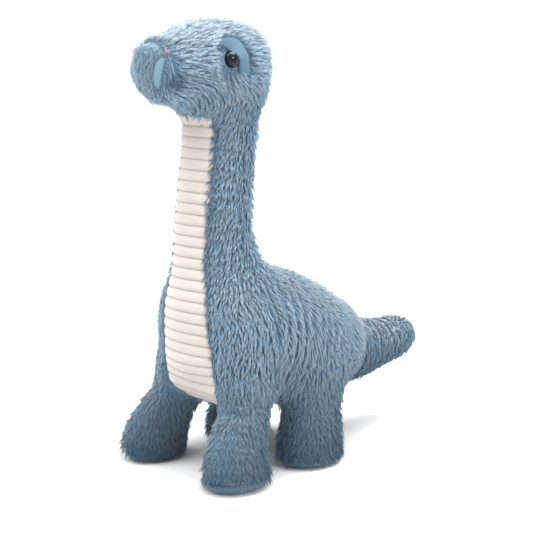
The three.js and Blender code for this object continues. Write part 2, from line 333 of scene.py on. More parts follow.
@dataclass(frozen=True)
class CordFinish:
    """Cream wide-wale cord with a brushed nap and painted shade in its grooves."""

    ridge: Colour = srgb(184, 178, 170)
    groove: Colour = srgb(158, 148, 137)

    def build(self) -> bpy.types.Material:
        """Ridge colour with a fine nap, with painted shade darker by the groove depth that the
        mesh carries.
        """
        nodes = Nodes("cream_cord")
        depth = nodes.attribute("groove")
        nap = nodes.noise(1500.0, 3.0, 0.6)
        drift = nodes.noise(30.0, 2.0)
        ridge = nodes.mix(drift * 0.3, self.ridge, srgb(182, 176, 167))
        # painted shade in the grooves between the ribs
        shaded = nodes.mix((depth * 0.8).clamped(), ridge, self.groove)
        colour = nodes.mix((nap - 0.4).clamped() * 0.35, shaded, srgb(178, 171, 162))
        return nodes.finish(
            Base_Color=colour,
            Roughness=0.9,
            Sheen_Weight=0.5,
            Sheen_Roughness=0.5,
            Specular_IOR_Level=0.15,
            Normal=nodes.bump(nap, 0.00025),
        )


@dataclass(frozen=True)
class SuedeFinish:
    """Short brushed suede of the eyelids and the muzzle folds."""

    name: str
    base: Colour
    shade: Colour
    edge_shade: Colour = srgb(46, 72, 92)

    def build(self) -> bpy.types.Material:
        """Two blues in a fine mottle, darker by a painted edge shade at the rim that the mesh
        carries.
        """
        nodes = Nodes(self.name)
        edge = nodes.attribute("edge")
        nap = nodes.noise(1300.0, 3.0, 0.6)
        mottled = nodes.mix((nap - 0.3).clamped() * 0.6, self.base, self.shade)
        # painted shade along the suede's rim
        colour = nodes.mix((edge * 0.8).clamped(), mottled, self.edge_shade)
        return nodes.finish(
            Base_Color=colour,
            Roughness=0.85,
            Sheen_Weight=0.15,
            Specular_IOR_Level=0.2,
            Normal=nodes.bump(nap, 0.0002),
        )


@dataclass(frozen=True)
class EyeFinish:
    """Polished black acrylic of the safety eyes."""

    deep: Colour = (0.0012, 0.0018, 0.003)
    glow: Colour = (0.006, 0.009, 0.014)

    def build(self) -> bpy.types.Material:
        """Nearly black, with a faint cloud inside."""
        nodes = Nodes("black_eye")
        cloud = nodes.noise(160.0, 2.0)
        return nodes.finish(
            Base_Color=nodes.mix(cloud, self.deep, self.glow),
            Roughness=0.05,
            Specular_IOR_Level=0.25,
        )


@dataclass(frozen=True)
class ThreadFinish:
    """Rose embroidery thread."""

    base: Colour = srgb(196, 92, 112)
    shade: Colour = srgb(140, 58, 78)

    def build(self) -> bpy.types.Material:
        """Two roses in a fine twist with a little shine."""
        nodes = Nodes("rose_thread")
        twist = nodes.noise(2600.0, 2.0)
        return nodes.finish(
            Base_Color=nodes.mix(twist, self.base, self.shade),
            Roughness=0.5,
            Sheen_Weight=0.3,
            Normal=nodes.bump(twist, 0.0001),
        )


@dataclass(frozen=True)
class InsideFinish:
    """A finish of an inner piece: white fibre filling or pale nylon."""

    name: str
    light: Colour
    dark: Colour
    scale: float
    rough: float

    def build(self) -> bpy.types.Material:
        """Two tones in noise, with a bump of the same noise."""
        nodes = Nodes(self.name)
        grain = nodes.noise(self.scale, 4.0, 0.6)
        return nodes.finish(
            Base_Color=nodes.mix(grain, self.dark, self.light),
            Roughness=self.rough,
            Normal=nodes.bump(grain, 0.0005),
        )


@dataclass(frozen=True)
class FloorFinish:
    """The pale plain floor."""

    base: Colour = (0.6, 0.602, 0.605)

    def build(self) -> bpy.types.Material:
        """A very even pale ground."""
        nodes = Nodes("pale_floor")
        even = nodes.noise(3.0, 1.0)
        colour = nodes.mix(even * 0.1, self.base, (0.58, 0.585, 0.59))
        return nodes.finish(Base_Color=colour, Roughness=0.85, Specular_IOR_Level=0.1)


class Finish(Enum):
    """Every finish on the toy, with the record's material slot that it belongs to."""

    PILE = ("pile", "blue_plush")
    BACKING = ("backing", "blue_plush")
    CORD = ("cord", "cream_cord")
    LID = ("lid", "eyelid_suede")
    FOLD = ("fold", "eyelid_suede")
    EYE = ("eye", "black_eye")
    THREAD = ("thread", "rose_thread")
    FIBRE = ("fibre", "fibre_filling")
    NYLON = ("nylon", "washer_nylon")

    @property
    def slot(self) -> str:
        """The record's material slot."""
        return self.value[1]


class Wardrobe:
    """The built materials, one for each finish."""

    def __init__(self) -> None:
        """Builds every material."""
        fibre = InsideFinish("fibre_filling", srgb(244, 244, 240), srgb(214, 216, 214),
                             700.0, 0.95)
        nylon = InsideFinish("washer_nylon", srgb(226, 226, 220), srgb(206, 206, 198), 300.0, 0.5)
        makers = {
            Finish.PILE: PileFinish(),
            Finish.BACKING: BackingFinish(),
            Finish.CORD: CordFinish(),
            Finish.LID: SuedeFinish("eyelid_suede", srgb(73, 99, 117), srgb(62, 87, 105)),
            Finish.FOLD: SuedeFinish("muzzle_suede", srgb(112, 139, 155), srgb(98, 126, 143)),
            Finish.EYE: EyeFinish(),
            Finish.THREAD: ThreadFinish(),
            Finish.FIBRE: fibre,
            Finish.NYLON: nylon,
        }
        self.materials = {finish: maker.build() for finish, maker in makers.items()}

    def dress(self, piece: bpy.types.Object, finish: Finish) -> None:
        """Gives a new piece its finish."""
        piece.data.materials.append(self.materials[finish])

    def redress(self, node: bpy.types.Object, finish: Finish) -> None:
        """Gives a CAD node a better material in every slot."""
        for place in node.material_slots:
            place.material = self.materials[finish]


# ---------------------------------------------------------------------------------------------
# Mesh making
# ---------------------------------------------------------------------------------------------


def make_mesh(name: str, points: Array, faces: Array, smooth: bool = True) -> bpy.types.Object:
    """Makes an object from whole arrays.

    Args:
        name: The piece's name.
        points: N x 3 places in millimetres.
        faces: F x 3 or F x 4 corner numbers.
        smooth: Whether the faces are shaded smooth.

    Returns:
        The object, linked to the scene.
    """
    mesh = bpy.data.meshes.new(name)
    count, corners = faces.shape
    mesh.vertices.add(len(points))
    mesh.vertices.foreach_set("co", (points * MM).astype(np.float32).ravel())
    mesh.loops.add(count * corners)
    mesh.loops.foreach_set("vertex_index", faces.astype(np.int32).ravel())
    mesh.polygons.add(count)
    mesh.polygons.foreach_set("loop_start", np.arange(count, dtype=np.int32) * corners)
    mesh.polygons.foreach_set("use_smooth", np.full(count, smooth))
    mesh.update(calc_edges=True)
    mesh.validate()
    piece = bpy.data.objects.new(name, mesh)
    bpy.context.scene.collection.objects.link(piece)
    return piece


def carry(piece: bpy.types.Object, name: str, values: Array) -> None:
    """Stores a number at each point of a piece for its material."""
    store = piece.data.attributes.new(name, "FLOAT", "POINT")
    store.data.foreach_set("value", values.astype(np.float32).ravel())


def tube_faces(rows: int, cols: int) -> Array:
    """Quads of a closed tube of rows x cols points, facing out of rings that turn left.

    Args:
        rows: How many rings there are.
        cols: How many points a ring has.

    Returns:
        The quads' corner numbers.
    """
    row, col = np.meshgrid(np.arange(rows - 1), np.arange(cols), indexing="ij")
    here = row * cols + col
    beside = row * cols + (col + 1) % cols
    return np.stack([here, beside, beside + cols, here + cols], -1).reshape(-1, 4)


def capped_tube(points: Array, flip: bool = False) -> tuple[Array, Array]:
    """Closes a grid of rings with a fan to the middle of each end ring.

    Args:
        points: rows x cols x 3 points, each row a ring.
        flip: Whether to turn the faces over.

    Returns:
        The points with the two middles added, and the triangles.
    """
    rows, cols = points.shape[:2]
    quads = tube_faces(rows, cols)
    triangles = np.concatenate([quads[:, [0, 1, 2]], quads[:, [0, 2, 3]]])
    ends = np.stack([points[0].mean(0), points[-1].mean(0)])
    first = rows * cols
    col = np.arange(cols)
    beside = (col + 1) % cols
    top = (rows - 1) * cols
    start = np.stack([np.full(cols, first), beside, col], -1)
    finish = np.stack([np.full(cols, first + 1), top + col, top + beside], -1)
    triangles = np.concatenate([triangles, start, finish])
    if flip:
        triangles = triangles[:, ::-1]
    return np.concatenate([points.reshape(-1, 3), ends]), triangles


def unit(vectors: Array) -> Array:
    """Vectors at length 1."""
    return vectors / np.maximum(np.linalg.norm(vectors, axis=-1, keepdims=True), 1e-9)


def curve_through(marks: tuple, count: int) -> Array:
    """Evenly spaced points on a smooth curve through some marks.

    The curve is Catmull and Rom's: its slope at a mark is half the step between its neighbours.

    Args:
        marks: The marks, in any number of dimensions.
        count: How many points there are.

    Returns:
        The points.
    """
    knots = np.array(marks, float)
    padded = np.concatenate([2 * knots[:1] - knots[1:2], knots, 2 * knots[-1:] - knots[-2:-1]])
    place = np.linspace(0.0, len(knots) - 1.0001, 400)
    first = place.astype(int)
    t = (place - first)[:, None]
    a, b, c, d = (padded[first + shift] for shift in range(4))
    curve = 0.5 * (2 * b + (c - a) * t + (2 * a - 5 * b + 4 * c - d) * t ** 2
                   + (3 * b - 3 * c + d - a) * t ** 3)
    length = np.concatenate([[0.0], np.cumsum(np.linalg.norm(np.diff(curve, axis=0), axis=1))])
    even = np.linspace(0.0, length[-1], count)
    return np.stack([np.interp(even, length, column) for column in curve.T], -1)


def smooth_step(low: float, high: float, values: Array) -> Array:
    """0 below low, 1 above high, and a smooth rise between them."""
    t = np.clip((values - low) / (high - low), 0.0, 1.0)
    return t * t * (3.0 - 2.0 * t)


# ---------------------------------------------------------------------------------------------
# The stuffed form
# ---------------------------------------------------------------------------------------------

FOOT_ROUND = 5.5
JOIN = 26.0
HALVINGS = 13
NUDGE = 0.6


@dataclass(frozen=True)
class Station:
    """A cross-section of a stuffed bag: its centre's y, z and x, and its half-sizes."""

    y: float
    z: float
    wide: float
    high: float
    x: float = 0.0


@dataclass
class Bag:
    """One stuffed bag: a spine of stations with a round end of some height at each end.

    Its depth field is the least of a row of ellipsoids strung along the spine, so that it is 0 on
    the surface, negative inside and about the distance from the surface outside.
    """

    name: str
    stations: list[Station]
    front: float
    back: float
    flat_foot: bool = False
    step: float = 3.0
    reach: float = 12.0
    centres: Array = field(init=False)
    axes: Array = field(init=False)
    halves: Array = field(init=False)

    def __post_init__(self) -> None:
        """Works out the ellipsoids along the spine from the stations."""
        table = np.array([[s.x, s.y, s.z, s.wide, s.high] for s in self.stations])
        gaps = np.linalg.norm(np.diff(table[:, :3], axis=0), axis=1)
        length = np.concatenate([[0.0], np.cumsum(gaps)])
        count = max(2, int(round(length[-1] / self.step)) + 1)
        places = np.linspace(0.0, length[-1], count)
        rows = np.stack([np.interp(places, length, column) for column in table.T], -1)
        rows = self._eased(rows)
        self.centres = rows[:, :3]
        along = unit(np.gradient(self.centres, axis=0))
        across = unit(np.array([1.0, 0.0, 0.0]) - along * along[:, :1])
        up = np.cross(along, across)
        self.axes = np.stack([across, up, along], 1)
        reach = np.full(count, self.reach)
        reach[0] = self.front or reach[0]
        reach[-1] = self.back or reach[-1]
        self.halves = np.column_stack([rows[:, 3:], reach])

    @staticmethod
    def _eased(rows: Array) -> Array:
        """Rounds the corners at the stations by a running mean that keeps both ends."""
        eased = rows.copy()
        for _ in range(3):
            eased[1:-1] = 0.25 * eased[:-2] + 0.5 * eased[1:-1] + 0.25 * eased[2:]
        return eased

    def depth(self, points: Array) -> Array:
        """The depth field at points, in millimetres.

        Args:
            points: N x 3 places.

        Returns:
            N depths, negative inside the bag.
        """
        least = np.full(len(points), np.inf)
        for centre, axes, halves in zip(self.centres, self.axes, self.halves):
            local = (points - centre) @ axes.T / halves
            ratio = np.sqrt((local * local).sum(-1))
            np.minimum(least, (ratio - 1.0) * 0.5 * (halves[0] + halves[1]), out=least)
        if self.flat_foot:
            least = smooth_most(least, -points[:, 2], FOOT_ROUND)
        return least


def smooth_least(first: Array, second: Array, width: float) -> Array:
    """The lesser of two fields, with a round fillet where they are within a width."""
    near = np.maximum(width - np.abs(first - second), 0.0) / width
    return np.minimum(first, second) - near * near * width * 0.25


def smooth_most(first: Array, second: Array, width: float) -> Array:
    """The greater of two fields, with a rounded edge where they are within a width."""
    return -smooth_least(-first, -second, width)


class Dinosaur:
    """All the bags, joined by fillets."""

    def __init__(self, bags: list[Bag]) -> None:
        """Keeps the bags by name."""
        self.bags = {bag.name: bag for bag in bags}

    def depth(self, points: Array) -> Array:
        """The joined depth field at N x 3 points, negative inside."""
        joined = None
        for bag in self.bags.values():
            one = bag.depth(points)
            joined = one if joined is None else smooth_least(joined, one, JOIN)
        return joined

    def owner(self, points: Array) -> Array:
        """The number of the bag that each point belongs to, by the least of their depths."""
        return np.argmin(np.stack([bag.depth(points) for bag in self.bags.values()]), 0)

    def solve(self, starts: Array, ways: Array, inset: float, limits: Array) -> Array:
        """How far each ray goes before it leaves the form drawn in by an inset.

        The field rises along a ray that leaves the form, so the place is found by halving the
        range between 0 and the ray's limit.

        Args:
            starts: N x 3 points inside the form.
            ways: N x 3 unit directions.
            inset: How far inside the surface the ray stops.
            limits: N lengths past which a ray isn't followed.

        Returns:
            N lengths.
        """
        low = np.zeros(len(starts))
        high = limits.copy()
        for _ in range(HALVINGS):
            middle = 0.5 * (low + high)
            inside = self.depth(starts + ways * middle[:, None]) < -inset
            low = np.where(inside, middle, low)
            high = np.where(inside, high, middle)
        return 0.5 * (low + high)

    def normals(self, points: Array) -> Array:
        """Which way the surface faces at points, by the slope of the field."""
        base = self.depth(points)
        slopes = []
        for axis in range(3):
            moved = points.copy()
            moved[:, axis] += NUDGE
            slopes.append(self.depth(moved) - base)
        return unit(np.stack(slopes, -1))


@dataclass
class RayLattice:
    """Rays that leave a bag's spine all round it and through both its round ends.

    A ring's rays leave one point of the spine. At a round end the rings lean over until the last
    one is nearly along the spine.
    """

    bag: Bag
    spacing: float

    def rings(self) -> tuple[Array, Array, Array]:
        """The rings' origins, axes and lean, from one end to the other.

        Returns:
            R x 3 origins, R x 3 x 3 axes and R leans in radians, 0 for a ring square to the
            spine.
        """
        bag = self.bag
        gaps = np.linalg.norm(np.diff(bag.centres, axis=0), axis=1)
        length = np.concatenate([[0.0], np.cumsum(gaps)])
        count = max(2, int(length[-1] / self.spacing))
        places = np.linspace(0.0, length[-1], count)
        centres = np.stack([np.interp(places, length, c) for c in bag.centres.T], -1)
        nearest = np.abs(places[:, None] - length[None]).argmin(1)
        axes = bag.axes[nearest]
        lean = np.zeros(count)
        parts = [(centres, axes, lean)]
        size = 0.5 * (bag.halves[0, 0] + bag.front)
        if bag.front:
            parts.insert(0, self._end(0, size, -1.0))
        size = 0.5 * (bag.halves[-1, 0] + bag.back)
        if bag.back:
            parts.append(self._end(-1, size, 1.0))
        return tuple(np.concatenate(column) for column in zip(*parts))

    def _end(self, index: int, size: float, sign: float) -> tuple[Array, Array, Array]:
        """The leaning rings of one round end of about that size."""
        count = max(3, int(size * math.pi / 2 / self.spacing))
        lean = np.linspace(0.0, 1.0, count + 1)[1:] * (math.pi / 2 - 0.02) * sign
        if sign < 0:
            lean = lean[::-1]
        centres = np.repeat(self.bag.centres[index][None], count, 0)
        axes = np.repeat(self.bag.axes[index][None], count, 0)
        return centres, axes, lean

    @staticmethod
    def ways(axes: Array, lean: Array, turn: Array) -> Array:
        """The directions of rays at some turns about the spine.

        Args:
            axes: ... x 3 x 3 across, up and along axes.
            lean: ... leans in radians.
            turn: ... turns in radians.

        Returns:
            ... x 3 unit directions.
        """
        flat = np.cos(lean)
        parts = np.stack([flat * np.cos(turn), flat * np.sin(turn), np.sin(lean)], -1)
        return unit(np.einsum("...i,...ij->...j", parts, axes))


# ---------------------------------------------------------------------------------------------
# Pile
# ---------------------------------------------------------------------------------------------


@dataclass(frozen=True)
class Pile:
    """How the pile stands: tufts of a few tapered hairs that lean over and meet at the tip."""

    spacing: float
    hairs: int
    length: float
    spread: float
    gather: float
    thick: float
    rise: float
    droop: float
    ragged: float


COAT = Pile(spacing=2.5, hairs=5, length=8.6, spread=1.15, gather=0.36, thick=0.27,
            rise=math.radians(31), droop=math.radians(5), ragged=0.12)
SILK = Pile(spacing=2.1, hairs=4, length=9.6, spread=1.1, gather=0.8, thick=0.22,
            rise=math.radians(27), droop=math.radians(5), ragged=0.16)
SOCK = Pile(spacing=2.3, hairs=4, length=7.6, spread=1.1, gather=0.7, thick=0.24,
            rise=math.radians(36), droop=math.radians(12), ragged=0.14)
PILES = {"torso": COAT, "neck": COAT, "tail": COAT, "head": SILK}

# centre of the painted shade at the corner of the mouth
MOUTH_CORNER = (26.0, -151.0, 342.0)

# A hair's corners are three at its root, three at its bend and one at its tip.
HAIR_HEIGHTS = (0.0, 0.0, 0.0, 0.55, 0.55, 0.55, 1.0)
HAIR_CORNERS = len(HAIR_HEIGHTS)
LOWEST_HAIR = 0.3
HAIR_TRIANGLES = np.array(
    [[0, 1, 4], [0, 4, 3], [1, 2, 5], [1, 5, 4], [2, 0, 3], [2, 3, 5],
     [3, 4, 6], [4, 5, 6], [5, 3, 6], [2, 1, 0]]
)


def hair_mesh(name: str, roots: Array, normals: Array, flow: Array, size: Array,
              marks: dict[str, Array], pile: Pile, rng: np.random.Generator) -> bpy.types.Object:
    """Makes the tufts of one panel as one mesh of closed three-sided spikes.

    A hair leaves its root at the rise angle above the flow direction, bends at half its length
    to the droop angle, and ends near its tuft's tip. Its root and its bend are triangles and its
    tip is a point.

    Args:
        name: The piece's name.
        roots: T x 3 places of the tufts.
        normals: T x 3 directions out of the skin.
        flow: T x 3 unit directions along the skin.
        size: T factors on the hair's length.
        marks: T numbers from 0 to 1 by the name of the attribute that carries them.
        pile: The pile's sizes.
        rng: The source of the ragged lengths and places.

    Returns:
        The piece.
    """
    count = len(roots)
    side = np.cross(normals, flow)
    hairs = pile.hairs
    tone = rng.random((count, 1)) ** 1.6
    length = pile.length * size * (1 + pile.ragged * rng.normal(size=count))
    rise = pile.rise + 0.11 * rng.normal(size=count)
    yaw = 0.17 * rng.normal(size=count)
    heading = unit(flow * np.cos(yaw)[:, None] + side * np.sin(yaw)[:, None])
    angle = 2 * math.pi * (np.arange(hairs)[None] / hairs + rng.random((count, 1)))
    ring = pile.spread * (0.55 + 0.45 * rng.random((count, hairs)))
    around = heading[:, None] * np.cos(angle)[..., None] + side[:, None] * np.sin(angle)[..., None]
    start = roots[:, None] + around * ring[..., None] - normals[:, None] * 0.3

    def step(lift: Array, share: float) -> Array:
        """The move along a hair over a share of its length at a lift above the skin."""
        move = heading * np.cos(lift)[:, None] + normals * np.sin(lift)[:, None]
        return move * (length * share)[:, None]

    first = step(rise, 0.5)
    second = step(np.full(count, pile.droop), 0.5)
    jitter = 0.25 * rng.normal(size=(count, hairs, 3))
    bend = start * 0.62 + (roots[:, None] * 0.38) + first[:, None] + jitter * 0.6
    pull = roots[:, None] + around * (ring * pile.gather)[..., None]
    reach = 1 + 0.14 * rng.normal(size=(count, hairs, 1))
    tip = pull + (first + second)[:, None] * reach + jitter
    turn = 2 * math.pi * np.arange(3) / 3
    frame = (side[:, None, None] * np.cos(turn)[:, None]
             + normals[:, None, None] * np.sin(turn)[:, None])
    thick = (0.8 + 0.4 * rng.random((count, hairs, 1, 1))) * np.sqrt(size)[:, None, None, None]
    low = start[:, :, None] + frame * pile.thick * thick
    mid = bend[:, :, None] + frame * pile.thick * 0.85 * thick
    points = np.concatenate([low, mid, tip[:, :, None]], 2).reshape(-1, 3)
    points[:, 2] = np.maximum(points[:, 2], LOWEST_HAIR)
    total = count * hairs
    first_corner = np.arange(total)[:, None, None] * HAIR_CORNERS
    faces = (first_corner + HAIR_TRIANGLES[None]).reshape(-1, 3)
    piece = make_mesh(name, points, faces)
    # hair_height carries the place along the hair for the pile's painted root shade and painted
    # tip highlight
    carry(piece, "hair_height", np.tile(HAIR_HEIGHTS, total))
    carry(piece, "tuft_tone", np.repeat(tone.ravel(), hairs * HAIR_CORNERS))
    for mark, values in marks.items():
        carry(piece, mark, np.repeat(values, hairs * HAIR_CORNERS))
    return piece


# ---------------------------------------------------------------------------------------------
# The toy
# ---------------------------------------------------------------------------------------------

TORSO = Bag("torso", [
    Station(-93, 112, 60, 55), Station(-67, 117.5, 69, 60.5), Station(-35, 113, 72, 60.5),
    Station(-3, 104, 69, 54.5), Station(25, 92.5, 59.5, 48),
], front=24, back=36)
NECK = Bag("neck", [
    Station(-87, 106, 49, 42), Station(-86, 150, 45, 45), Station(-87, 180, 38.5, 40),
    Station(-90, 210, 34, 35), Station(-88, 240, 33, 34), Station(-84, 275, 32, 33),
    Station(-81, 303, 32, 34.5), Station(-82, 322, 32, 37),
], front=38, back=32)
HEAD = Bag("head", [
    Station(-142, 348.5, 34.5, 28.5), Station(-121, 350.5, 38, 33), Station(-95, 353.5, 41, 37),
    Station(-69, 349.5, 40.5, 37),
], front=20.5, back=28.5)
TAIL = Bag("tail", [
    Station(53, 83.5, 34, 38), Station(80, 77.5, 27, 31), Station(110, 77, 22, 25),
    Station(137, 80, 20, 21.5),
], front=33, back=27.5)


def leg_bag(name: str, side: float, front: bool) -> Bag:
    """The bag of one leg.

    Args:
        name: The leg's body.
        side: 1 for the toy's left and -1 for its right.
        front: Whether it is a front leg.

    Returns:
        The bag, from the hip to the flat sole.
    """
    if front:
        rows = [(-90, 75, 24, 25.5, 42), (-96, 54, 23, 22, 47), (-105.5, 37, 23.5, 26.5, 51.5),
                (-112, 20, 25.5, 32, 55.5), (-113, 8, 25.5, 32.5, 57.5)]
        return Bag(name, [Station(y, z, w, h, x * side) for y, z, w, h, x in rows], 25, 0, True)
    rows = [(-12, 77, 26, 31, 41), (-14.5, 54, 25.5, 28.5, 46), (-17, 37, 25.5, 30, 48),
            (-19.5, 20, 26.5, 33, 49), (-20, 8, 26.5, 33.5, 49)]
    return Bag(name, [Station(y, z, w, h, x * side) for y, z, w, h, x in rows], 27, 0, True)


LEGS = {
    f"{end}_{word}_leg": leg_bag(f"{end}_{word}_leg", side, end == "front")
    for end in ("front", "hind") for word, side in (("left", 1.0), ("right", -1.0))
}


@dataclass(frozen=True)
class Turn:
    """Where a bag's plush turns from one body to the next across a sewn joint."""

    parent: str
    child: str
    start: tuple[float, float, float]
    end: tuple[float, float, float]

    def apply(self, piece: bpy.types.Object) -> None:
        """Bakes the piece's placement into its mesh."""
        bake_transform(piece)


def leg_turn(leg: Bag) -> Turn:
    """The turn of a leg's plush, from a little above its hip to a little below."""
    hip = leg.stations[0]
    return Turn("torso", leg.name, (hip.x, hip.y, hip.z + 20), (hip.x, hip.y, hip.z - 17))


TURNS = {
    "neck": Turn("torso", "neck", (0, -87, 152), (0, -87, 208)),
    "head": Turn("neck", "head", (0, -78, 302), (0, -90, 330)),
    "tail": Turn("torso", "tail", (0, 34, 84), (0, 78, 80)),
    **{name: leg_turn(leg) for name, leg in LEGS.items()},
}


@dataclass
class Bib:
    """The ribbed cream strip down the front of the neck and chest."""

    pitch: float = 9.4
    rib: float = 1.6
    top: float = 309.0
    turn_height: float = 104.0
    inset: float = 2.6
    axis_y: float = -84.0
    off_centre: float = 0.6
    widths: tuple = ((104.0, 34.4), (150.0, 29.6), (185.0, 21.6), (317.0, 21.0))
    curl_end: float = math.radians(74)
    curl_share: tuple = ((0.0, 1.0), (0.45, 1.02), (0.7, 0.95), (0.85, 0.82), (0.95, 0.62),
                         (1.0, 0.42))
    curl_radius: float = 42.0
    lowest: float = 56.0
    furthest_back: float = -90.0
    back_depth: float = 4.0
    edge_drop: float = 2.2
    taut_rise: float = 3.0
    per_rib: int = 12
    across: int = 61

    def half(self, z: Array, lean: Array) -> Array:
        """The strip's half-width at a height on the axis and a lean round the chest's curl."""
        heights, widths = zip(*self.widths)
        turned, shares = zip(*self.curl_share)
        return np.interp(z, heights, widths) * np.interp(lean / self.curl_end, turned, shares)

    def edge_distance(self, points: Array) -> Array:
        """How far points of the skin are outside the strip's outline, in millimetres."""
        x, y, z = points.T
        lean = np.arctan2(np.maximum(self.turn_height - z, 0.0), np.maximum(self.axis_y - y, 0.1))
        side = np.abs(x - self.off_centre) - self.half(z, np.minimum(lean, self.curl_end))
        under = self.curl_radius * (lean - self.curl_end)
        limits = [side, z - self.top, under, self.lowest - z, y - self.furthest_back]
        return np.max(np.stack(limits), 0)

    def rows(self, form: Dinosaur) -> tuple[Array, Array, Array, Array]:
        """The strip's rows down the front of the toy, evenly spaced along its middle.

        Args:
            form: The stuffed form it lies on.

        Returns:
            Each row's height on the axis, its lean, its distance from the axis and its place
            along the middle.
        """
        drop = np.linspace(self.top, self.turn_height, 400)
        curl = np.linspace(0.0, self.curl_end, 90)[1:]
        z = np.concatenate([drop, np.full(len(curl), self.turn_height)])
        lean = np.concatenate([np.zeros(len(drop)), curl])
        origin = np.stack([np.full_like(z, self.off_centre), np.full_like(z, self.axis_y), z], -1)
        forward = np.stack([np.zeros_like(lean), -np.cos(lean), -np.sin(lean)], -1)
        reach = form.solve(origin, forward, self.inset, np.full(len(origin), 80.0))
        middle = origin + forward * reach[:, None]
        gaps = np.linalg.norm(np.diff(middle, axis=0), axis=1)
        length = np.concatenate([[0.0], np.cumsum(gaps)])
        ribs = round(length[-1] / self.pitch)
        places = np.linspace(0.0, length[-1], ribs * self.per_rib + 1)
        columns = (np.interp(places, length, column) for column in (z, lean, reach))
        return (*columns, places / length[-1] * ribs)

    def lay(self, form: Dinosaur, z: Array, lean: Array, far: Array,
            offset: Array) -> tuple[Array, Array]:
        """Lays the strip on the form and pulls it taut between the legs.

        Along a row the strip's distance from the axis never rises towards an edge, so it spans
        the hollow between the legs as taut cloth does.

        Args:
            form: The stuffed form.
            z: Each row's height on the axis.
            lean: Each row's lean.
            far: Each row's distance from the axis at its middle.
            offset: rows x across sideways places in millimetres.

        Returns:
            rows x across x 3 points of the cloth, and the unit directions out of it.
        """
        down = np.stack([np.zeros_like(lean), -np.cos(lean), -np.sin(lean)], -1)[:, None]
        start = np.stack([np.full_like(z, self.off_centre), np.full_like(z, self.axis_y), z], -1)
        start = np.repeat(start[:, None], self.across, 1)
        start[..., 2] += 1.2 * (1.0 - np.linspace(-1.0, 1.0, self.across) ** 2)
        reach = np.repeat(far[:, None], self.across, 1)
        for _ in range(3):
            spin = np.arcsin(np.clip(offset / reach, -0.95, 0.95))
            ways = down * np.cos(spin)[..., None]
            ways[..., 0] += np.sin(spin)
            rays = unit(ways).reshape(-1, 3)
            limit = np.full(len(rays), 80.0)
            reach = form.solve(start.reshape(-1, 3), rays, self.inset, limit).reshape(reach.shape)
        height = np.minimum(reach * np.cos(spin), far[:, None] + self.taut_rise)
        middle = self.across // 2
        height[:, :middle + 1] = np.maximum.accumulate(height[:, :middle + 1], 1)
        height[:, middle:] = np.maximum.accumulate(height[:, :middle - 1:-1], 1)[:, ::-1]
        for _ in range(12):
            height[:, 1:-1] = 0.25 * height[:, :-2] + 0.5 * height[:, 1:-1] + 0.25 * height[:, 2:]
            height[1:-1] = 0.25 * height[:-2] + 0.5 * height[1:-1] + 0.25 * height[2:]
        cloth = start + down * height[..., None]
        cloth[..., 0] += offset
        return cloth, ways

    def make(self, form: Dinosaur) -> bpy.types.Object:
        """Makes the strip as a closed sheet with real ribs.

        A rib's height is 1 less a power of the place between two grooves. It falls to the seam
        at both edges, where the ribs end in low scallops.

        Args:
            form: The stuffed form it lies on.

        Returns:
            The piece.
        """
        z, lean, far, place = self.rows(form)
        share = np.linspace(-1.0, 1.0, self.across)
        wave = 1.0 - np.abs(2.0 * (place % 1.0) - 1.0) ** 3.2
        half = self.half(z, lean) + 0.5 * wave
        base, out = self.lay(form, z, lean, far, half[:, None] * share[None])
        edge = np.abs(share) ** 9
        relief = (self.rib * wave)[:, None] * (1.0 - edge)[None] - self.edge_drop * edge[None]
        skin = base + out * relief[..., None]
        ring = np.concatenate([skin, (base - out * self.back_depth)[:, ::-1]], 1)
        points, faces = capped_tube(ring, flip=True)
        piece = make_mesh("ribbed_bib", points, faces)
        # groove depth for the cord's painted groove shade
        groove = np.repeat((1.0 - wave)[:, None], ring.shape[1], 1).ravel()
        carry(piece, "groove", np.concatenate([groove ** 3, [0.0, 0.0]]))
        return piece


